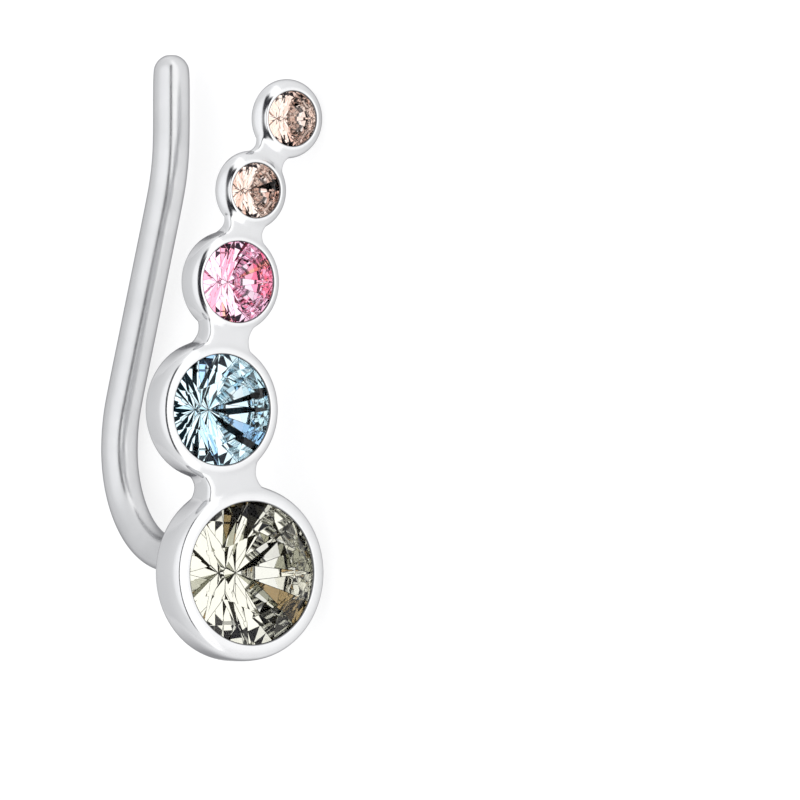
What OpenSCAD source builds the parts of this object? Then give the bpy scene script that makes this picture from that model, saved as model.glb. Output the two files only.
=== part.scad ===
// Ear climber: a cast silver row of five graded settings, each holding a round
// brilliant-cut crystal, with a long ear wire soldered behind the lowest one.
// The row is drawn face up on the bench, its rims in the plane z = 0 and its
// narrow end towards +X, and is then laid on its side as the loose piece rests.

/* [Stones] */
// Girdle diameter of each of the two stones at the top
top_stone_d = 1.7; // [1.5:0.05:1.9]
// Girdle diameter of the third stone
third_stone_d = 2.45; // [2.2:0.05:2.8]
// Girdle diameter of the fourth stone
fourth_stone_d = 3.3; // [3:0.05:3.7]
// Girdle diameter of the lowest stone
lowest_stone_d = 4.2; // [3.8:0.05:4.7]
// Width of a stone's table as a share of its diameter
table_share = 0.56; // [0.5:0.01:0.62]
// Slope of the main crown facets, in degrees
crown_slope = 30; // [26:1:33]
// Slope of the main pavilion facets, in degrees
pavilion_slope = 39; // [36:1:41]
// Thickness of a stone's girdle
girdle_t = 0.09; // [0.06:0.01:0.12]

/* [Settings] */
// Metal seen round each of the two top stones
top_rim_w = 0.35; // [0.3:0.01:0.45]
// Metal seen round the third stone
third_rim_w = 0.3; // [0.26:0.01:0.4]
// Metal seen round the fourth stone
fourth_rim_w = 0.4; // [0.32:0.01:0.5]
// Metal seen round the lowest stone
lowest_rim_w = 0.49; // [0.4:0.01:0.6]
// Straight side of each of the two top settings, from the rim back
top_wall_h = 0.44; // [0.4:0.01:0.6]
// Straight side of the third setting
third_wall_h = 0.8; // [0.6:0.01:0.9]
// Straight side of the fourth setting
fourth_wall_h = 1; // [0.8:0.01:1.2]
// Straight side of the lowest setting
lowest_wall_h = 1.2; // [1:0.01:1.4]
// Rolled outer edge of a rim, as a share of the rim's width
roll_share = 0.82; // [0.6:0.01:0.9]
// Flat back of a setting, as a share of the setting's full width
back_share = 0.55; // [0.5:0.01:0.7]
// Reach of the lip over the edge of its stone
lip_w = 0.07; // [0.05:0.01:0.1]
// Depth of a stone's girdle below the rim
girdle_drop = 0.14; // [0.13:0.01:0.18]
// Metal left behind the point of a stone
floor_t = 0.2; // [0.15:0.01:0.3]
// Air all round a stone in its cup
stone_gap = 0.02; // [0.015:0.005:0.03]

/* [Row] */
// Gap between the lowest setting and the fourth
lowest_gap = 0.26; // [0.1:0.01:0.4]
// Gap between the fourth setting and the third
fourth_gap = 0.25; // [0.1:0.01:0.4]
// Gap between the third setting and the second
third_gap = 0.09; // [0:0.01:0.25]
// Gap between the second setting and the top one
second_gap = 0.12; // [0:0.01:0.25]
// Lean of the line from the lowest setting to the fourth, in degrees
lowest_lean = 12; // [5:0.1:18]
// Lean of the line from the fourth setting to the third, in degrees
fourth_lean = -8.5; // [-14:0.1:-4]
// Lean of the line from the third setting to the second, in degrees
third_lean = -12.7; // [-18:0.1:-6]
// Lean of the line from the second setting to the top one, in degrees
second_lean = -30.3; // [-36:0.1:-24]
// Hollow fillet at each side of the two lower necks
lower_neck_round = 0.48; // [0.4:0.01:0.6]
// Hollow fillet at each side of the two upper necks
upper_neck_round = 0.34; // [0.28:0.01:0.45]

/* [Ear wire] */
// Diameter of the ear wire
wire_d = 1.05; // [0.8:0.01:1.1]
// Clear space for the ear between the lowest setting's back and the wire's bend
ear_gap = 4.85; // [4.6:0.05:5.4]
// Offset of the soldered foot from the lowest stone's centre, up the row
foot_rise = 0.51; // [0.3:0.01:0.7]
// Bend radius of the wire below the ear
lower_bend_r = 3; // [2.8:0.05:3.3]
// Bend radius of the wire where it starts to lean forward
upper_bend_r = 3.8; // [3.4:0.1:4.4]
// Forward lean of the straight shank, in degrees
shank_lean = 22; // [18:0.5:24]
// Length of the straight shank
shank_len = 6.25; // [5.8:0.05:6.8]
// Bend radius at the top of the shank
tip_bend_r = 4.8; // [4:0.1:6]
// Length of the straight tip, up to its round end
tip_len = 1.8; // [1.6:0.05:2.4]
// Rise of the solder cone round the foot
solder_h = 0.35; // [0.2:0.01:0.5]

/* [Hidden] */
$fn = 64;
CLEAR = 1;
ARC_STEPS = 8;
// Depth by which joined solids enter each other
BITE = 0.15;
// Depth of a neck's front below the rims and of its back before the walls' ends
NECK_INSET = 0.04;
// Lap of a straight run of wire over a bend, and how much thinner the bend is
WIRE_LAP = 0.04;
WIRE_SLACK = 0.004;
// Overlap of a neck's hollow fillet with the setting that it runs into
FILLET_BITE = 0.012;
// Share of a crown facet that the star facets take, and of a pavilion facet the lower halves
STAR_SHARE = 0.5;
LOWER_HALF_SHARE = 0.75;

// Columns of the table of settings, one row for each setting from the lowest up
STONE_D = 0;
RIM_W = 1;
WALL_H = 2;
NEXT_GAP = 3;
NEXT_LEAN = 4;
NECK_ROUND = 5;
SETTINGS = [
    [lowest_stone_d, lowest_rim_w, lowest_wall_h, lowest_gap, lowest_lean, lower_neck_round],
    [fourth_stone_d, fourth_rim_w, fourth_wall_h, fourth_gap, fourth_lean, lower_neck_round],
    [third_stone_d, third_rim_w, third_wall_h, third_gap, third_lean, upper_neck_round],
    [top_stone_d, top_rim_w, top_wall_h, second_gap, second_lean, upper_neck_round],
    [top_stone_d, top_rim_w, top_wall_h]
];
LOWEST = 0;
TOP = len(SETTINGS) - 1;

// Radii and depths of setting i
function stone_r(i) = SETTINGS[i][STONE_D] / 2;
function setting_r(i) = stone_r(i) - lip_w + SETTINGS[i][RIM_W];
function wall_h(i) = SETTINGS[i][WALL_H];
function roll_r(i) = roll_share * SETTINGS[i][RIM_W];
function back_r(i) = back_share * setting_r(i);
function point_depth(i) = girdle_drop + girdle_t + stone_r(i) * tan(pavilion_slope);
function setting_h(i) = point_depth(i) + stone_gap + floor_t;

// Centre of setting i: each stands one gap beyond the one below it
function heading(a) = [cos(a), sin(a), 0];
function pitch(i) = setting_r(i) + setting_r(i + 1) + SETTINGS[i][NEXT_GAP];
function centre(i) = i == LOWEST
    ? [0, 0, 0]
    : centre(i - 1) + pitch(i - 1) * heading(SETTINGS[i - 1][NEXT_LEAN]);

// Wire route: straight run, bend radius and bend angle of each step from the foot
wire_r = wire_d / 2;
bend_depth = setting_h(LOWEST) + ear_gap + wire_r;
foot_len = bend_depth - setting_h(LOWEST) - lower_bend_r;
RUN = 0;
BEND_R = 1;
BEND_A = 2;
WIRE = [
    [foot_len, lower_bend_r, 90],
    [0, upper_bend_r, shank_lean],
    [shank_len, tip_bend_r, -shank_lean],
    [tip_len, 0, 0]
];
// Highest point of the route, where the straight tip ends
bend_top = [foot_rise + lower_bend_r, 0, -bend_depth];
wire_end = bend_top
    + [upper_bend_r * sin(shank_lean), 0, upper_bend_r * (1 - cos(shank_lean))]
    + shank_len * [cos(shank_lean), 0, sin(shank_lean)]
    + [tip_bend_r * sin(shank_lean), 0, tip_bend_r * (1 - cos(shank_lean))]
    + [tip_len, 0, 0];

// The loose piece lies on the sides of its lowest and top settings and on the
// wire's bend. Each touch is the furthest point of one of them along a direction.
function unit(v) = v / norm(v);
function side_touch(i, way) =
    centre(i) + setting_r(i) * unit([way.x, way.y, 0]) - [0, 0, wall_h(i)];
function bend_touch(way) =
    let(r = way.x > 0 ? upper_bend_r : lower_bend_r)
    bend_top + [0, 0, r] + r * unit([way.x, 0, way.z]) + wire_r * way;
function floor_normal(a, b, c) = let(n = unit(cross(b - a, c - a))) n.y < 0 ? n : -n;
function settle(way, steps) = steps == 0
    ? way
    : settle(floor_normal(side_touch(LOWEST, way), side_touch(TOP, way), bend_touch(way)), steps - 1);
way_down = settle(unit([0, -1, -0.3]), 12);
roll = atan2(-way_down.y, -way_down.z);
tip_up = asin(way_down.x);

// Reach of the whole piece in a direction, from the curves that bound it
function circle_reach(c, r, way) = c * way + r * norm([way.x, way.y]);
function setting_reach(i, way) = max(
    circle_reach(centre(i) - [0, 0, roll_r(i)], setting_r(i) - roll_r(i), way) + roll_r(i),
    circle_reach(centre(i) - [0, 0, wall_h(i)], setting_r(i), way),
    circle_reach(centre(i) + [0, 0, crown_top(i)], table_share * stone_r(i), way));
function reach(way) = max(
    max([for (i = [LOWEST:TOP]) setting_reach(i, way)]),
    bend_touch(way) * way,
    wire_end * way + wire_r);
function laid_axis(v) =
    [v.x * cos(tip_up) - v.z * sin(tip_up),
     v.y * cos(roll) + (v.x * sin(tip_up) + v.z * cos(tip_up)) * sin(roll),
     -v.y * sin(roll) + (v.x * sin(tip_up) + v.z * cos(tip_up)) * cos(roll)];
function mid_reach(v) = (reach(laid_axis(v)) - reach(-laid_axis(v))) / 2;

// Lays what is drawn on the bench on its side, its footprint centred on the origin
module laid() {
    translate([-mid_reach([1, 0, 0]), -mid_reach([0, 1, 0]), reach(way_down)])
        rotate([roll, tip_up, 0])
            children();
}

// Points of an arc round c in even steps, both ends included
function arc(c, r, from, to) =
    [for (k = [0:ARC_STEPS]) let(a = from + (to - from) * k / ARC_STEPS) c + r * [cos(a), sin(a)]];

// Half section of setting i, its rim at y = 0: straight side, rolled rim and tapered back
module setting_section(i) {
    r = setting_r(i);
    polygon(concat(
        [[0, 0]],
        arc([r - roll_r(i), -roll_r(i)], roll_r(i), 90, 0),
        [[r, -wall_h(i)], [back_r(i), -setting_h(i)], [0, -setting_h(i)]]));
}

// Half section of the cup of setting i: the stone's own outline and the air round it
module cup_section(i) {
    cup_r = stone_r(i) + stone_gap;
    mouth_r = stone_r(i) - lip_w;
    lip_under = stone_gap - girdle_drop;
    girdle_foot = -girdle_drop - girdle_t;
    low_r = (1 - LOWER_HALF_SHARE) * stone_r(i);
    polygon([
        [0, CLEAR],
        [mouth_r, CLEAR],
        [mouth_r, lip_under + (cup_r - mouth_r) * tan(crown_slope)],
        [cup_r, lip_under],
        [cup_r, girdle_foot],
        [low_r + stone_gap, girdle_foot - low_depth(i) - stone_gap],
        [0, -point_depth(i) - stone_gap]
    ]);
}

// Neck from setting i to the next: a bar with rolled front edges, and a web
// behind the roll whose sides run into both settings in hollow fillets
module neck(i) {
    fillet_r = SETTINGS[i][NECK_ROUND];
    from_r = setting_r(i) + fillet_r - FILLET_BITE;
    to_r = setting_r(i + 1) + fillet_r - FILLET_BITE;
    along = (pitch(i) ^ 2 + from_r ^ 2 - to_r ^ 2) / (2 * pitch(i));
    aside = sqrt(from_r ^ 2 - along ^ 2);
    half_w = aside - fillet_r - FILLET_BITE;
    depth = min(wall_h(i), wall_h(i + 1)) - NECK_INSET;
    front = -NECK_INSET;
    edge_r = min(roll_r(i), roll_r(i + 1), (depth + front) / 2);
    start = setting_r(i) / 2;
    end = pitch(i) - setting_r(i + 1) / 2;
    translate(centre(i)) rotate([0, 0, SETTINGS[i][NEXT_LEAN]]) {
        translate([start, 0, 0]) rotate([90, 0, 90]) linear_extrude(end - start)
            polygon(concat(
                [[-half_w, -depth]],
                arc([edge_r - half_w, front - edge_r], edge_r, 180, 90),
                arc([half_w - edge_r, front - edge_r], edge_r, 90, 0),
                [[half_w, -depth]]));
        translate([0, 0, -depth]) linear_extrude(depth + front - edge_r) difference() {
            polygon([[0, 0], [along, -aside], [pitch(i), 0], [along, aside]]);
            for (side = [-1, 1])
                translate([along, side * aside]) circle(fillet_r);
        }
    }
}

// Setting i with its neck and all the settings above it
module row_from(i) {
    union() {
        translate(centre(i)) rotate_extrude() setting_section(i);
        if (i < TOP)
            neck(i);
    }
    if (i < TOP)
        row_from(i + 1);
}

// Step i of the wire's route and all that follow it, along +Z and bending towards +X.
// A straight run is a hair fuller than a bend and laps over the bends at its ends.
module wire_from(i) {
    step = WIRE[i];
    bend = step[BEND_A];
    side = bend < 0 ? -1 : 1;
    pivot = [side * step[BEND_R], 0, step[RUN]];
    translate([0, 0, -WIRE_LAP])
        cylinder(h = step[RUN] + (bend == 0 ? 1 : 2) * WIRE_LAP, r = wire_r);
    if (bend != 0)
        translate(pivot) rotate([90, 0, 0]) rotate([0, 0, side < 0 ? 0 : 180 - bend])
            rotate_extrude(angle = abs(bend))
                translate([step[BEND_R], 0]) circle(wire_r - WIRE_SLACK);
    if (i < len(WIRE) - 1)
        translate(pivot) rotate([0, bend, 0]) translate([-side * step[BEND_R], 0, 0])
            wire_from(i + 1);
    else
        translate([0, 0, step[RUN]]) sphere(wire_r);
}

// Ear wire with its solder cone, from inside the back of the lowest setting
module ear_wire() {
    translate([foot_rise, 0, -setting_h(LOWEST)]) rotate([180, 0, 0]) {
        wire_from(0);
        translate([0, 0, -BITE / 2]) cylinder(h = solder_h, r1 = wire_r + solder_h / 2, r2 = wire_r - WIRE_SLACK);
    }
}

// One casting and the wire soldered to it
module setting_row() {
    color("silver") laid() {
        difference() {
            row_from(LOWEST);
            for (i = [LOWEST:TOP])
                translate(centre(i)) rotate_extrude() cup_section(i);
        }
        ear_wire();
    }
}

// Heights of a brilliant's table above its girdle and of the lower halves' ends below it
function crown_top(i) = (1 - table_share) * stone_r(i) * tan(crown_slope) - girdle_drop;
function low_depth(i) =
    (1 - (1 - LOWER_HALF_SHARE) * cos(22.5)) * stone_r(i) * tan(pavilion_slope);

// Round brilliant of setting i: table, eight stars, eight kites and sixteen upper
// halves on the crown, a girdle, then sixteen lower halves and eight pavilion mains
module brilliant(i) {
    r = stone_r(i);
    table_r = table_share * r;
    star_r = table_r * cos(22.5) + STAR_SHARE * (r - table_r * cos(22.5));
    low_r = (1 - LOWER_HALF_SHARE) * r;
    function ring(n, turn, radius, z) =
        [for (k = [0:n - 1]) [radius * cos(360 * k / n + turn), radius * sin(360 * k / n + turn), z]];
    points = concat(
        ring(8, 0, table_r, (r - table_r) * tan(crown_slope)),
        ring(8, 22.5, star_r, (r - star_r * cos(22.5)) * tan(crown_slope)),
        ring(16, 0, r, 0),
        ring(16, 0, r, -girdle_t),
        ring(8, 22.5, low_r, -girdle_t - low_depth(i)),
        [[0, 0, -girdle_t - r * tan(pavilion_slope)]]);
    function table(k) = k % 8;
    function star(k) = 8 + (k + 8) % 8;
    function upper(k) = 16 + k % 16;
    function lower(k) = 32 + k % 16;
    function low(k) = 48 + (k + 8) % 8;
    point = 56;
    faces = [
        [for (k = [7:-1:0]) table(k)],
        for (k = [0:7]) [table(k), table(k + 1), star(k)],
        for (k = [0:7]) [table(k), star(k), upper(2 * k), star(k - 1)],
        for (k = [0:7]) [star(k), upper(2 * k + 1), upper(2 * k)],
        for (k = [0:7]) [star(k), upper(2 * k + 2), upper(2 * k + 1)],
        for (k = [0:15]) [upper(k), upper(k + 1), lower(k + 1), lower(k)],
        for (k = [0:7]) [low(k), lower(2 * k), lower(2 * k + 1)],
        for (k = [0:7]) [low(k), lower(2 * k + 1), lower(2 * k + 2)],
        for (k = [0:7]) [point, low(k - 1), lower(2 * k), low(k)]
    ];
    laid() translate(centre(i) - [0, 0, girdle_drop]) polyhedron(points, faces);
}

module lowest_stone() {
    color("darkkhaki") brilliant(0);
}

module fourth_stone() {
    color("lightblue") brilliant(1);
}

module third_stone() {
    color("hotpink") brilliant(2);
}

module second_stone() {
    color("peachpuff") brilliant(3);
}

module top_stone() {
    color("peachpuff") brilliant(4);
}

setting_row();
lowest_stone();
fourth_stone();
third_stone();
second_stone();
top_stone();
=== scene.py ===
import random
from math import asin, atan2, cos, pi, radians, sin

import bmesh
import bpy
from mathutils import Matrix, Vector


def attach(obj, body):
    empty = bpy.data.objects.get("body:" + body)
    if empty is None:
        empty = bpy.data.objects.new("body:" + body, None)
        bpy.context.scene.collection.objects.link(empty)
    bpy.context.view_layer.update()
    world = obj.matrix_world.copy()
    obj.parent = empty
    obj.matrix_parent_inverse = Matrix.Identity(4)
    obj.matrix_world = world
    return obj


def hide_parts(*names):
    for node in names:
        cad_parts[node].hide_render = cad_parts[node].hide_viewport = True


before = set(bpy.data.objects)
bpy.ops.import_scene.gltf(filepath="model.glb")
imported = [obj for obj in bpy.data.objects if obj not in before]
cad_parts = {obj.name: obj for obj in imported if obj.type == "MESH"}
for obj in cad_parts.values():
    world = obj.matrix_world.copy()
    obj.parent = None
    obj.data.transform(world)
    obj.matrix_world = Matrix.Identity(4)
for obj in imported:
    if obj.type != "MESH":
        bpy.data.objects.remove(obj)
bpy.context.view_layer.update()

# The crystals as cut. They are pressed glass brilliants, ground and polished flat facet by
# facet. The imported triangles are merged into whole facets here, because every stone says
# where its setting is and which way it faces.
MM = 0.001
STONES = ("lowest_stone", "fourth_stone", "third_stone", "second_stone", "top_stone")
FACET_WELD = 0.001 * MM
FLAT = radians(0.5)
# Share of a stone's radius beyond which its corners lie on the girdle
GIRDLE_FROM = 0.98


def whole_facets(stone):
    """The facets of a packed stone, with their triangles merged."""
    cut = bmesh.new()
    cut.from_mesh(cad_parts[stone].data)
    bmesh.ops.remove_doubles(cut, verts=cut.verts, dist=FACET_WELD)
    bmesh.ops.dissolve_limit(cut, angle_limit=FLAT, verts=cut.verts, edges=cut.edges)
    return cut


def table_of(cut):
    """The table, which is the only facet with eight corners."""
    return max(cut.faces, key=lambda facet: len(facet.verts))


lowest = whole_facets("lowest_stone")
lowest_table = table_of(lowest)
out = lowest_table.normal.copy()
corner = max(lowest_table.verts, key=lambda vert: vert.co.x)
along = (corner.co - lowest_table.calc_center_median()).normalized()
across = out.cross(along)
lowest.free()


def seat_of(stone):
    """Centre of a stone's girdle, its radius and the depth of its point below that."""
    cut = whole_facets(stone)
    middle = table_of(cut).calc_center_median()
    reach = {vert: (vert.co - middle).cross(out).length for vert in cut.verts}
    radius = max(reach.values())
    rim = [vert for vert in cut.verts if reach[vert] > GIRDLE_FROM * radius]
    girdle = max((vert.co - middle).dot(out) for vert in rim)
    point = min((vert.co - middle).dot(out) for vert in cut.verts)
    cut.free()
    return middle + girdle * out, radius, girdle - point


# The row of settings with the soldered ear wire. It is cast in sterling silver, filed and
# polished bright, then plated with rhodium. The drawn wire is soldered behind the lowest
# setting, bent round the ear and left straight at its round tip.

# How deep the girdle lies below the rims, and from the stone's point to the back of its cup
GIRDLE_DROP = 0.14 * MM
POINT_TO_BACK = 0.22 * MM
# The lip that is burnished over the stone: how far it reaches in and how thick it is
LIP = 0.07 * MM
LIP_THICK = 0.09 * MM
# The cup behind the stone: air round the girdle, straight wall under it, metal at its bottom,
# and how wide the bottom is as a share of the stone
CUP_AIR = 0.04 * MM
CUP_WALL = 0.25 * MM
BACK_THICK = 0.08 * MM
CUP_BOTTOM_SHARE = 0.3
# How wide the flat back is as a share of the whole setting, and how soft its edges are
BACK_SHARE = 0.55
EDGE = 0.04 * MM
# The rolled rim as shares of its own width: where it is highest, where it rolls over, how low
# it is at the start and at the end of that, and how steep its bevel is
CREST = 0.25
ROLL = 0.18
ROLL_START = 0.1
ROLL_END = 0.5
BEVEL_SLOPE = 0.6
# Where a ring of corners keeps the side straight, as shares of its height and of the rim's width
SIDE_HOLD = 0.6
SIDE_HOLD_RIM = 0.25
# Rim width, height of the straight side and share of the rim that is bevelled, from the lowest up
RIMS = (
    (0.49 * MM, 1.2 * MM, 0.18),
    (0.4 * MM, 1 * MM, 0.3),
    (0.3 * MM, 0.8 * MM, 0.44),
    (0.35 * MM, 0.44 * MM, 0.5),
    (0.35 * MM, 0.44 * MM, 0.5),
)
# Half the width of each neck at its narrowest
NECKS = (0.81 * MM, 0.67 * MM, 0.56 * MM, 0.49 * MM)
# How much wider a neck is where it joins a setting, how many columns of faces it has and how
# sharp its edge there stays. It is pinched a little, because smoothing fills it out
NECK_FLARE = 1.17
NECK_COLUMNS = 4
NECK_CREASE = 0.5
NECK_PINCH = 0.96
# The angle of each column of faces round a setting
COLUMN = radians(11.25)
RING_WELD = 0.0001 * MM
# Shares of a setting's radius: its own corners lie within the first, and the faces of its
# outer side between the other two
RING_TO = 1.05
SIDE_FROM, SIDE_TO = 0.9, 1.02
# The painted shade line where the lip meets the stone, darkening the gap there as painted shade:
# how deep and how wide it goes, and how dark it is on its outer corners
SEAM_DEPTH = 1.5 * EDGE
SEAM_INNER = 0.2 * EDGE
SEAM_OUTER = 0.6 * EDGE
SEAM_EDGE = 0.75


def fullness(columns):
    """How much a ring of that many corners is made larger, to be its true size once smoothed."""
    return 3 / (2 + cos(2 * pi / columns))


def setting_profile(stone_r, rim_w, side_h, bevel, depth, closed):
    """Half section of a setting, from the bottom of its cup over the rim to its back."""
    mouth = stone_r - LIP
    side = mouth + rim_w
    back = BACK_SHARE * side
    points = [
        (0, BACK_THICK - depth),
        (CUP_BOTTOM_SHARE * stone_r, BACK_THICK - depth),
        (stone_r + CUP_AIR, -GIRDLE_DROP - CUP_WALL),
        (stone_r + CUP_AIR, -GIRDLE_DROP),
        (mouth, -LIP_THICK),
        (mouth, -EDGE),
        (mouth + EDGE / 2, -EDGE / 4),
        (mouth + CREST * rim_w, 0),
        (side - (ROLL + bevel) * rim_w, -ROLL_START * rim_w),
        (side - ROLL * rim_w, -(ROLL_START + BEVEL_SLOPE * bevel) * rim_w),
        (side, -(ROLL_END + BEVEL_SLOPE * bevel) * rim_w),
        (side, -SIDE_HOLD * side_h - SIDE_HOLD_RIM * rim_w),
        (side, EDGE - side_h),
        (side - EDGE, -side_h - EDGE),
        (back + EDGE, EDGE - depth),
        (back - EDGE, -depth),
    ]
    return points + [(0, -depth)] if closed else points


# The points of that section between which the necks join the side
NECK_TOP = 9
NECK_LOW = 12


def turn(angle):
    """The level direction at an angle from the row's axis."""
    return Vector((cos(angle), sin(angle), 0))


def once(parts):
    """Each part once, in the order given."""
    return list(dict.fromkeys(parts))


def only(parts, kind):
    """The parts of one kind: corners, edges or faces."""
    return [part for part in parts if isinstance(part, kind)]


# The row is made lying on its back on the bench, with the rims level at nought, and is moved
# to its place at the end
seats = [seat_of(stone) for stone in STONES]
bench = Matrix((along, across, out)).transposed().to_4x4()
bench.translation = seats[0][0] + GIRDLE_DROP * out
to_bench = bench.inverted()
centres = [to_bench @ (seat + GIRDLE_DROP * out) for seat, _, _ in seats]
sides = [radius - LIP + rim[0] for (_, radius, _), rim in zip(seats, RIMS)]
depths = [GIRDLE_DROP + depth + POINT_TO_BACK for _, _, depth in seats]
headings = [atan2(b.y - a.y, b.x - a.x) for a, b in zip(centres, centres[1:])]

silver = bmesh.new()
creases = silver.edges.layers.float.new("crease_edge")
seam_shades = silver.verts.layers.float.new("seam")
full = fullness(2 * pi / COLUMN)
mouths = {}
for i, ((_, stone_r, _), rim) in enumerate(zip(seats, RIMS)):
    # Each neck of this setting: its heading, half the angle that it takes and its number
    necks = []
    if i < len(NECKS):
        necks.append((headings[i], asin(NECK_FLARE * NECKS[i] / sides[i]), i))
    if i > 0:
        necks.append((headings[i - 1] + pi, asin(NECK_FLARE * NECKS[i - 1] / sides[i]), i - 1))
    profile = setting_profile(stone_r, *rim, depths[i], closed=i > 0)
    start = necks[0][0] - necks[0][1]
    chain = []
    for r, z in profile:
        chain.append(silver.verts.new(centres[i] + full * r * turn(start) + Vector((0, 0, z))))
    edges = [silver.edges.new(pair) for pair in zip(chain, chain[1:])]
    last = chain + edges
    for k, (heading, half, _) in enumerate(necks):
        next_start = (necks[k + 1][0] - necks[k + 1][1]) if k + 1 < len(necks) else start + 2 * pi
        rest = next_start - heading - half
        for angle, steps in ((2 * half, NECK_COLUMNS), (rest, round(rest / COLUMN))):
            last = bmesh.ops.spin(
                silver, geom=last, cent=centres[i], axis=(0, 0, 1), dvec=(0, 0, 0),
                angle=angle, steps=steps, use_merge=False,
            )["geom_last"]
    ring = [vert for vert in silver.verts if (vert.co - centres[i]).xy.length < RING_TO * sides[i]]
    # The corners at the mouth carry the painted shade line where the lip meets the stone
    mouth = full * (stone_r - LIP)
    for vert in ring:
        reach = (vert.co - centres[i]).xy.length
        if vert.co.z > -SEAM_DEPTH and reach < mouth + SEAM_OUTER:
            vert[seam_shades] = 1 if reach < mouth + SEAM_INNER else SEAM_EDGE
    bmesh.ops.remove_doubles(silver, verts=ring, dist=RING_WELD)
    high, low = profile[NECK_TOP][1], profile[NECK_LOW][1]
    for heading, half, neck in necks:
        patch = []
        for face in silver.faces:
            at = face.calc_center_median() - centres[i]
            on_side = SIDE_FROM * sides[i] < at.xy.length < SIDE_TO * sides[i] and low < at.z < high
            if on_side and turn(heading).dot(at.xy.to_3d().normalized()) > cos(half):
                patch.append(face)
        gap = []
        for edge in once(edge for face in patch for edge in face.edges):
            if sum(face in patch for face in edge.link_faces) == 1:
                edge[creases] = NECK_CREASE
                gap.append(edge)
        mouths.setdefault(neck, []).append(gap)
        bmesh.ops.delete(silver, geom=patch, context="FACES")

for neck, (one, other) in mouths.items():
    bridge = bmesh.ops.bridge_loops(silver, edges=one + other)
    ties = [edge for edge in bridge["edges"] if edge.is_valid]
    cut = bmesh.ops.subdivide_edges(silver, edges=ties, cuts=1, use_grid_fill=True)
    middle = only(cut["geom_inner"], bmesh.types.BMVert)
    ahead = turn(headings[neck])
    near = centres[neck] + sides[neck] * ahead
    far = centres[neck + 1] - sides[neck + 1] * ahead
    on_neck = Matrix.Rotation(-headings[neck], 4, "Z") @ Matrix.Translation(-(near + far) / 2)
    wide = max(abs((on_neck @ vert.co).y) for vert in middle)
    narrowed = (1, NECK_PINCH * NECKS[neck] / wide, 1)
    bmesh.ops.scale(silver, vec=narrowed, space=on_neck, verts=middle)

# The wire: its radius, how far up the back of the lowest cup it stands, and how deep behind
# the rims its bend lies. Its bends and its straight runs are made in steps
WIRE_R = 0.525 * MM
WIRE_SIDES = 32
FOOT_RISE = 0.51 * MM
BEND_DEPTH = 7.526 * MM
LOWER_BEND = 3 * MM
LEAN = radians(22)
BEND_STEP = radians(7.5)
RUN_STEP = 1.2 * MM
# Depth of each ring of the solder below the cup's back, and how much wider than the wire it is
SOLDER = ((0.02 * MM, 0.18 * MM), (0.07 * MM, 0.09 * MM), (0.18 * MM, 0.03 * MM), (0.35 * MM, 0))
# Straight run, bend radius and bend angle of each step of the wire
WIRE = (
    (BEND_DEPTH - depths[0] - LOWER_BEND, LOWER_BEND, radians(90)),
    (0, 3.8 * MM, LEAN),
    (6.25 * MM, 4.8 * MM, -LEAN),
    (1.8 * MM, 0, 0),
)
# The rings of the round tip, and how wide the last of them is as a share of the one before
TIP_STEPS = 4
TIP_CAP = 0.4


def next_ring(mesh, ring, move, grow=1.0, about=Vector()):
    """Extrudes an open ring of edges by a move and then widens it about a point."""
    new = bmesh.ops.extrude_edge_only(mesh, edges=ring)["geom"]
    verts = only(new, bmesh.types.BMVert)
    bmesh.ops.translate(mesh, verts=verts, vec=move)
    bmesh.ops.scale(mesh, vec=(grow, grow, grow), space=Matrix.Translation(-about), verts=verts)
    return only(new, bmesh.types.BMEdge)


back_ring = []
for edge in silver.edges:
    if edge.is_boundary and edge.verts[0].co.z + depths[0] < EDGE:
        back_ring.append(edge)
at = Vector((FOOT_RISE, 0, -depths[0] - SOLDER[0][0]))
circle = bmesh.ops.create_circle(
    silver, segments=WIRE_SIDES, radius=(WIRE_R + SOLDER[0][1]) * fullness(WIRE_SIDES),
    matrix=Matrix.Translation(at),
)["verts"]
ring = once(edge for vert in circle for edge in vert.link_edges)
bmesh.ops.bridge_loops(silver, edges=back_ring + ring)
for (drop, collar), (next_drop, next_collar) in zip(SOLDER, SOLDER[1:]):
    down = Vector((0, 0, drop - next_drop))
    at += down
    ring = next_ring(silver, ring, down, (WIRE_R + next_collar) / (WIRE_R + collar), at)
bearing = -pi / 2
for k, (run, bend_r, bend) in enumerate(WIRE):
    ahead = Vector((cos(bearing), 0, sin(bearing)))
    run -= SOLDER[-1][0] if k == 0 else 0
    pieces = max(1, round(run / RUN_STEP)) if run else 0
    for _ in range(pieces):
        ring = next_ring(silver, ring, ahead * run / pieces)
    at += ahead * run
    if bend:
        side = 1 if bend > 0 else -1
        pivot = at + side * bend_r * Vector((-sin(bearing), 0, cos(bearing)))
        ends = once(vert for edge in ring for vert in edge.verts)
        swept = bmesh.ops.spin(
            silver, geom=ring + ends, cent=pivot, axis=(0, -1, 0), dvec=(0, 0, 0),
            angle=bend, steps=round(abs(bend) / BEND_STEP), use_merge=False,
        )["geom_last"]
        ring = only(swept, bmesh.types.BMEdge)
        bearing += bend
        at = pivot - side * bend_r * Vector((-sin(bearing), 0, cos(bearing)))
ahead = Vector((cos(bearing), 0, sin(bearing)))
tip_angles = [k * pi / 2 / TIP_STEPS for k in range(TIP_STEPS)]
for here, there in zip(tip_angles, tip_angles[1:]):
    step = ahead * WIRE_R * (sin(there) - sin(here))
    at += step
    ring = next_ring(silver, ring, step, cos(there) / cos(here), at)
cap = next_ring(silver, ring, ahead * WIRE_R * (1 - sin(tip_angles[-1])), TIP_CAP, at)
bmesh.ops.edgeloop_fill(silver, edges=cap)
bmesh.ops.recalc_face_normals(silver, faces=silver.faces)
bmesh.ops.transform(silver, matrix=bench, verts=silver.verts)


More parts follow.
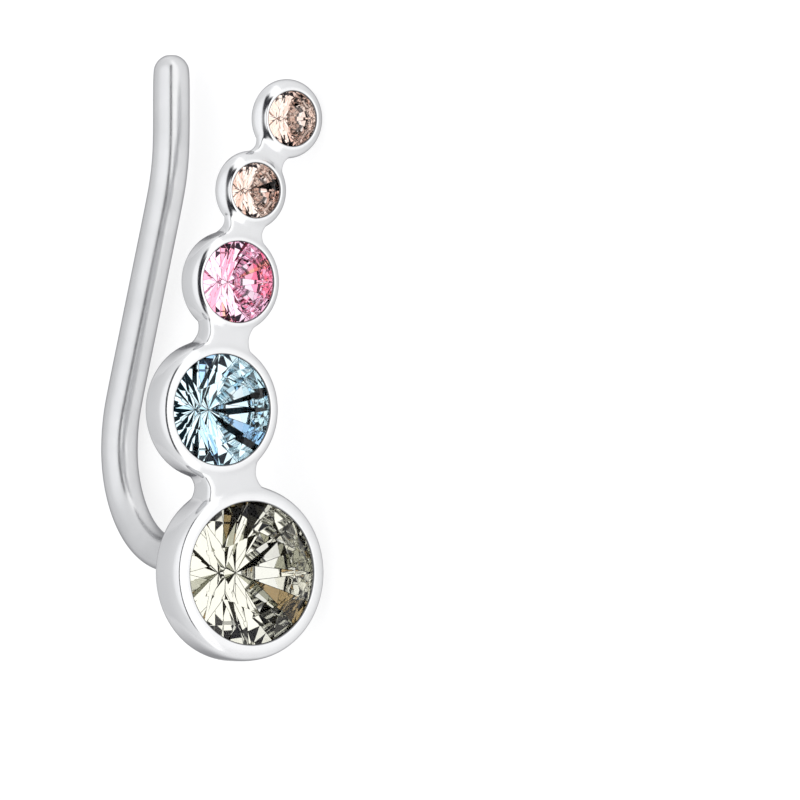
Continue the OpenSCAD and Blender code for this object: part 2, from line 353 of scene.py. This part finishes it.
def finish_piece(mesh, name, *materials):
    """Makes an object of a finished mesh and puts it in the scene."""
    data = bpy.data.meshes.new(name)
    mesh.to_mesh(data)
    mesh.free()
    for material in materials:
        data.materials.append(material)
    piece = bpy.data.objects.new(name, data)
    bpy.context.scene.collection.objects.link(piece)
    return piece


def rgba(colour):
    """A colour as a socket takes it, with nothing see-through."""
    return (*colour, 1)


class Value:
    """A socket of a node tree, on which maths is written as on a number."""

    def __init__(self, tree, socket):
        self.tree = tree
        self.socket = socket

    def maths(self, operation, first, second=0.0):
        return self.tree.node("ShaderNodeMath", {"operation": operation}, {0: first, 1: second})

    def __add__(self, other):
        return self.maths("ADD", self, other)

    def __sub__(self, other):
        return self.maths("SUBTRACT", self, other)

    def __rsub__(self, other):
        return self.maths("SUBTRACT", other, self)

    def __mul__(self, other):
        return self.maths("MULTIPLY", self, other)

    def __abs__(self):
        return self.maths("ABSOLUTE", self)

    __radd__ = __add__
    __rmul__ = __mul__


# A Mix node's colour sockets, which come after the ones for numbers and vectors
MIX_LOW, MIX_HIGH, MIX_RESULT = 6, 7, 2


class Tree:
    """The nodes of a material or of the world. node() adds any one of them."""

    def __init__(self, owner):
        owner.use_nodes = True
        self.nodes = owner.node_tree.nodes
        self.links = owner.node_tree.links
        self.nodes.clear()

    def node(self, kind, settings=None, sockets=None, give=0):
        added = self.nodes.new(kind)
        for key, value in (settings or {}).items():
            if key == "stops":
                ramp = added.color_ramp.elements
                while len(ramp) < len(value):
                    ramp.new(0.5)
                for stop, (position, colour) in zip(ramp, value):
                    stop.position = position
                    stop.color = rgba(colour)
            else:
                setattr(added, key, value)
        for key, value in (sockets or {}).items():
            if isinstance(value, Value):
                self.links.new(value.socket, added.inputs[key])
            else:
                added.inputs[key].default_value = value
        return Value(self, added.outputs[give]) if added.outputs else None

    def between(self, share, low, high):
        """The mix of two colours, each given plain or as a value."""
        low, high = (rgba(end) if isinstance(end, tuple) else end for end in (low, high))
        return self.node("ShaderNodeMix", {"data_type": "RGBA"}, {
            "Factor": share, MIX_LOW: low, MIX_HIGH: high,
        }, MIX_RESULT)

    def rise(self, value, low, high, start=0.0, end=1.0):
        """Goes smoothly from start to end while a value goes from low to high."""
        return self.node("ShaderNodeMapRange", {"interpolation_type": "SMOOTHSTEP"}, {
            "Value": value, "From Min": low, "From Max": high, "To Min": start, "To Max": end,
        })

    def part_along(self, place, axis):
        """How far a place or a direction goes along an axis."""
        return self.node("ShaderNodeVectorMath", {"operation": "DOT_PRODUCT"}, {
            0: place, 1: axis,
        }, "Value")

    def noise(self, scale, detail=2.0, stretch=(1, 1, 1), turned=(0, 0, 0)):
        """Noise on the piece, in grains per metre, drawn out along an axis by a small stretch."""
        place = self.node("ShaderNodeTexCoord", give="Object")
        place = self.node("ShaderNodeMapping", None, {
            "Vector": place, "Rotation": turned, "Scale": stretch,
        })
        return self.node("ShaderNodeTexNoise", None, {
            "Vector": place, "Scale": scale, "Detail": detail,
        })

    def surface(self, sockets):
        """Ends a material in its shader."""
        shade = self.node("ShaderNodeBsdfPrincipled", None, sockets)
        self.node("ShaderNodeOutputMaterial", None, {"Surface": shade})


# The rims are the best polished, the sides of the settings less so, and the drawn wire least,
# which shows in their roughness. The sides and the wire are also painted in darker tints than
# the rims, as painted shade. These are the depths below the rims over which one finish becomes
# the next
SIDES_BEGIN, SIDES_FULL = 0, 0.06 * MM
WIRE_BEGIN, WIRE_FULL = 2 * MM, 3 * MM
# The two ends of each finish's cloudy tint, those of the sides and the wire darkened as painted
# shade, and the tints of the painted shade line round each stone and of the metal where it is
# seen edge on
RIM_TINTS = ((0.79, 0.793, 0.8), (0.88, 0.883, 0.89))
SIDE_SHADED_TINTS = ((0.66, 0.663, 0.672), (0.75, 0.753, 0.762))
WIRE_SHADED_TINTS = ((0.58, 0.583, 0.592), (0.72, 0.723, 0.732))
SEAM_SHADE_TINT = (0.1, 0.1, 0.105)
EDGE_ON_TINT = (0.3, 0.3, 0.31)
# The values of the seam shade attribute at which that painted shade line begins and is full
SEAM_BEGIN, SEAM_FULL = 0.5, 0.9
# Grains per metre of the clouds, of the hairline scratches and of the wear
CLOUDS = 900.0
HAIRLINES = 9000.0
WEAR = 2600.0
# The scratches are long, lie at an angle, and share their bump with the clouds
HAIR_STRETCH = (1, 0.04, 0.04)
HAIR_TURN = (0, 0, radians(24))
HAIR_SHARE, CLOUD_SHARE = 0.6, 0.4
SCRATCH_DEPTH = 0.004 * MM
SCRATCH_STRENGTH = 0.05
# Roughness of the polish, and what wear, the sides and the wire add to it
POLISH = 0.02
WORN = 0.10
SIDES_DULL = 0.06
WIRE_DULL = 0.12

material = bpy.data.materials.new("rhodium_silver")
tree = Tree(material)
clouds = tree.noise(CLOUDS, 4.0)
hairs = tree.noise(HAIRLINES, 2.0, HAIR_STRETCH, HAIR_TURN)
scratches = tree.node("ShaderNodeBump", None, {
    "Strength": SCRATCH_STRENGTH, "Distance": SCRATCH_DEPTH,
    "Height": hairs * HAIR_SHARE + clouds * CLOUD_SHARE,
})
place = tree.node("ShaderNodeTexCoord", give="Object")
below_rims = bench.translation.dot(out) - tree.part_along(place, out)
sides_dull_and_shaded = tree.rise(below_rims, SIDES_BEGIN, SIDES_FULL)
wire_dull_and_shaded = tree.rise(below_rims, WIRE_BEGIN, WIRE_FULL)
seam = tree.node("ShaderNodeAttribute", {"attribute_name": "seam"}, None, "Fac")
# The sides and the wire take darker tints than the rims: painted shade
rims_and_sides = tree.between(
    sides_dull_and_shaded, tree.between(clouds, *RIM_TINTS), tree.between(clouds, *SIDE_SHADED_TINTS),
)
tint_under_seam_shade = tree.between(wire_dull_and_shaded, rims_and_sides, tree.between(clouds, *WIRE_SHADED_TINTS))
# The line round each stone is painted shade, laid over the tints
tree.surface({
    "Base Color": tree.between(tree.rise(seam, SEAM_BEGIN, SEAM_FULL), tint_under_seam_shade, SEAM_SHADE_TINT),
    "Metallic": 1.0,
    "Specular Tint": rgba(EDGE_ON_TINT),
    "Roughness": tree.noise(WEAR, 3.0) * WORN + sides_dull_and_shaded * SIDES_DULL + wire_dull_and_shaded * WIRE_DULL + POLISH,
    "Normal": scratches,
})

row = finish_piece(silver, "silver_row", material)
for polygon in row.data.polygons:
    polygon.use_smooth = True
smooth = row.modifiers.new("smooth", "SUBSURF")
smooth.levels = smooth.render_levels = 2
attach(row, "root")
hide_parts("setting_row")

# The five crystals. Each is clear tinted glass with a mirror foil on its back, dropped into
# its cup and held by the lip burnished over its girdle. The foil throws the light back
# through the crown in shards, and some of its facets are painted dim, fiery or dark: painted
# shade, painted fire and painted dark reflections.

# Tint of the glass, and tints of the foil's pale facets and of its facets painted dim, fiery
# and dark, which are painted shade, painted fire and painted dark reflections
TINTS = {
    "smoky_crystal": (
        (0.9, 0.9, 0.85),
        ((0.89, 0.885, 0.855), (0.4, 0.4, 0.33), (0.46, 0.34, 0.19), (0.01, 0.009, 0.005)),
    ),
    "ice_blue_crystal": (
        (0.9, 0.968, 0.99),
        ((0.9, 0.965, 0.985), (0.62, 0.8, 0.88), (0.5, 0.7, 0.95), (0.004, 0.01, 0.014)),
    ),
    "rose_crystal": (
        (1.0, 0.86, 0.95),
        ((1.0, 0.9, 0.95), (0.98, 0.5, 0.6), (1.0, 0.62, 0.42), (0.1, 0.004, 0.02)),
    ),
    "peach_crystal": (
        (0.99, 0.915, 0.87),
        ((0.95, 0.905, 0.88), (0.84, 0.7, 0.65), (0.95, 0.82, 0.76), (0.012, 0.008, 0.007)),
    ),
}
# Slot, shares of facets painted dim and painted dark in the foil, number of planes that split
# the pavilion into narrower facets, and the lot that the stone is drawn from
CRYSTALS = {
    "lowest_stone": ("smoky_crystal", 0.12, 0.1, 5, 6),
    "fourth_stone": ("ice_blue_crystal", 0.16, 0.045, 9, 15),
    "third_stone": ("rose_crystal", 0.13, 0.045, 7, 6),
    "second_stone": ("peach_crystal", 0.12, 0.055, 5, 9),
    "top_stone": ("peach_crystal", 0.12, 0.055, 5, 15),
}
# The share of facets painted with fire, and where each kind of facet stands on the foil's ramp
# of tints
PAINTED_FIRE_SHARE = 0.05
PALE, PAINTED_DIM, PAINTED_FIRE, PAINTED_DARK = FOIL_LEVELS = (0.0, 0.3, 0.6, 1.0)
# The face of the glass reflects little, so that no pale veil hides the foil
GLASS_SHEEN = (0.1, 0.1, 0.1)
CRYSTAL_IOR = 1.56
FOIL_ROUGHNESS = 0.02
# A facet that looks down by more than this is part of the pavilion
PAVILION = -0.1
# How far a splitting plane may turn from its even place, as a share of the step between planes
SPLIT_PLAY = 0.3
SPLIT_WELD = 0.0001 * MM
# The edges between facets are ground this wide, as a share of the stone's radius
ARRIS = 0.0035
SHARP = radians(1)


def glass_and_foil(slot, glass_tint, foil_tints):
    """The two materials of a crystal: its clear glass, and the foil seen through it."""
    glass = bpy.data.materials.new(slot)
    Tree(glass).surface({
        "Base Color": rgba(glass_tint),
        "Roughness": 0.0,
        "IOR": CRYSTAL_IOR,
        "Transmission Weight": 1.0,
        "Specular Tint": rgba(GLASS_SHEEN),
    })
    foil = bpy.data.materials.new(slot + "_foil")
    tree = Tree(foil)
    # The facet attribute picks each facet's tint: pale, or painted dim, fiery or dark
    facet = tree.node("ShaderNodeAttribute", {"attribute_name": "facet"}, None, "Fac")
    stops = tuple(zip(FOIL_LEVELS, foil_tints))
    tree.surface({
        "Base Color": tree.node("ShaderNodeValToRGB", {"stops": stops}, {"Fac": facet}),
        "Metallic": 1.0,
        "Roughness": FOIL_ROUGHNESS,
    })
    return glass, foil


finishes = {slot: glass_and_foil(slot, *tints) for slot, tints in TINTS.items()}
for stone, (slot, painted_dim_share, painted_dark_share, splits, lot) in CRYSTALS.items():
    random.seed(lot)
    middle, radius, _ = seat_of(stone)
    cut = whole_facets(stone)
    painted_facet_shades = cut.faces.layers.float.new("facet")
    for k in range(splits):
        heading = (k + random.uniform(-SPLIT_PLAY, SPLIT_PLAY)) * pi / splits
        under = [face for face in cut.faces if face.normal.dot(out) < PAVILION]
        bmesh.ops.bisect_plane(
            cut, geom=under + once(part for face in under for part in (*face.verts, *face.edges)),
            dist=SPLIT_WELD, plane_co=middle, plane_no=cos(heading) * along + sin(heading) * across,
        )
    for face in cut.faces:
        face.smooth = False
        face.material_index = 1 if face.normal.dot(out) < PAVILION else 0
        # Each facet is drawn pale, or painted dim, fiery or dark as painted shade, painted fire and
        # painted dark reflections
        chance = random.random()
        face[painted_facet_shades] = PALE
        if chance < painted_dark_share:
            face[painted_facet_shades] = PAINTED_DARK
        elif chance < painted_dark_share + painted_dim_share:
            face[painted_facet_shades] = PAINTED_DIM
        elif chance < painted_dark_share + painted_dim_share + PAINTED_FIRE_SHARE:
            face[painted_facet_shades] = PAINTED_FIRE
    arrises = [edge for edge in cut.edges if edge.calc_face_angle() > SHARP]
    ground = bmesh.ops.bevel(
        cut, geom=arrises, offset=ARRIS * radius, offset_type="OFFSET", affect="EDGES",
        segments=1, profile=0.5, material=-1,
    )
    # The ground edges between facets are painted dark, as painted shade lines
    for face in ground["faces"]:
        face[painted_facet_shades] = PAINTED_DARK
    crystal = finish_piece(cut, stone + "_crystal", *finishes[slot])
    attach(crystal, "root")
    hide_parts(stone)

# The photographer's table. A pale sheet lit from below lies under the piece, and a soft white
# tent stands round it. A softbox lights it from the front, and a narrow dark bar across the
# tent draws the crisp lines in the polished metal.

# How far the camera stands round from the face of the row, how wide its picture is at the
# piece, and how far to the right of the lowest setting and along the row it aims
YAW = radians(31)
FRAME_W = 22.8 * MM
AIM_RIGHT, AIM_UP = 4.207 * MM, 4.936 * MM
# The lens and the width of its picture, in millimetres. It is a long one, because the
# photograph shows hardly any perspective
LENS = 1000
SENSOR = 36
CLIP_NEAR, CLIP_FAR = 0.005, 10
toward = cos(YAW) * out + sin(YAW) * across
right = sin(YAW) * out - cos(YAW) * across
camera = bpy.data.cameras.new("camera")
camera.lens = LENS
camera.sensor_width = SENSOR
camera.clip_start = CLIP_NEAR
camera.clip_end = CLIP_FAR
distance = FRAME_W * camera.lens / camera.sensor_width
holder = bpy.data.objects.new("camera", camera)
pose = Matrix((right, along, toward)).transposed().to_4x4()
pose.translation = bench.translation + AIM_RIGHT * right + AIM_UP * along + distance * toward
holder.matrix_world = pose
bpy.context.scene.collection.objects.link(holder)
bpy.context.scene.camera = holder

# The sheet: its size in metres, tint and roughness, and how much it glows
SHEET_SIZE = 1.2
SHEET_TINT = (0.34, 0.34, 0.342)
SHEET_ROUGHNESS = 0.7
SHEET_GLOW = 0.69
sheet = bmesh.new()
bmesh.ops.create_grid(sheet, x_segments=1, y_segments=1, size=SHEET_SIZE / 2)
material = bpy.data.materials.new("pale_sheet")
Tree(material).surface({
    "Base Color": rgba(SHEET_TINT),
    "Roughness": SHEET_ROUGHNESS,
    "Emission Color": rgba((1.0, 1.0, 1.0)),
    "Emission Strength": SHEET_GLOW,
})
floor = finish_piece(sheet, "pale_sheet", material)

# The tent's tint from the camera's left to its right, and how much brighter its roof is
TENT_STOPS = (
    (0.0, (0.6, 0.603, 0.61)),
    (0.43, (0.7, 0.703, 0.71)),
    (0.56, (1.0, 1.0, 1.0)),
    (1.0, (0.9, 0.9, 0.9)),
)
ROOF_BEGIN, ROOF_FULL = 0.55, 0.95
ROOF_GLOW = 1.3
# The dark bar: its place left of the middle, half its width and half its length, each to where it
# begins to fade and to where it has ended
BAR_PLACE = 0.03
BAR_WIDTH = (0.09, 0.15)
BAR_LENGTH = (0.68, 0.86)
BAR_TINT = (0.015, 0.015, 0.02)
# What the camera sees beyond the sheet
BACKDROP = (0.9, 0.9, 0.905)
TENT_POWER = 1.5
world = bpy.data.worlds.new("tent")
bpy.context.scene.world = world
tree = Tree(world)
way = tree.node("ShaderNodeTexCoord", give="Generated")
rightward = tree.part_along(way, right)
upward = tree.part_along(way, along)
tent = tree.node("ShaderNodeValToRGB", {"stops": TENT_STOPS}, {"Fac": rightward * 0.5 + 0.5})
roof = tree.rise(tree.part_along(way, (0, 0, 1)), ROOF_BEGIN, ROOF_FULL, 1.0, ROOF_GLOW)
tent = tree.node("ShaderNodeVectorMath", {"operation": "SCALE"}, {0: tent, "Scale": roof})
bar_across = tree.rise(abs(rightward + BAR_PLACE), *BAR_WIDTH, 1.0, 0.0)
bar_along = tree.rise(abs(upward), *BAR_LENGTH, 1.0, 0.0)
tent = tree.between(bar_across * bar_along, tent, BAR_TINT)
seen = tree.node("ShaderNodeLightPath", give="Is Camera Ray")
glow = tree.node("ShaderNodeBackground", None, {
    "Color": tree.between(seen, tent, BACKDROP), "Strength": TENT_POWER,
})
tree.node("ShaderNodeOutputWorld", None, {"Surface": glow})

# The softbox: its width and height, its power, and which way and how far from the piece it is
LAMP_SIZE = (0.16, 0.14)
LAMP_POWER = 0.17
LAMP_WAY = Vector((0.3, -1, 0.32))
LAMP_AWAY = 0.3
lamp = bpy.data.lights.new("softbox", "AREA")
lamp.shape = "RECTANGLE"
lamp.size, lamp.size_y = LAMP_SIZE
lamp.energy = LAMP_POWER
box = bpy.data.objects.new("softbox", lamp)
box_at = bench.translation + LAMP_AWAY * LAMP_WAY.normalized()
box.location = box_at
box.rotation_euler = (box_at - bench.translation).to_track_quat("Z", "Y").to_euler()
# The metal and the glass show the tent alone, not the softbox
box.visible_glossy = False
box.visible_transmission = False
bpy.context.scene.collection.objects.link(box)

# Light goes back and forth between facets and foil many times before it comes out
BOUNCES = 24
GLASS_BOUNCES = 16
bpy.context.scene.view_settings.view_transform = "Standard"
bpy.context.scene.cycles.max_bounces = BOUNCES
bpy.context.scene.cycles.glossy_bounces = GLASS_BOUNCES
bpy.context.scene.cycles.transmission_bounces = GLASS_BOUNCES
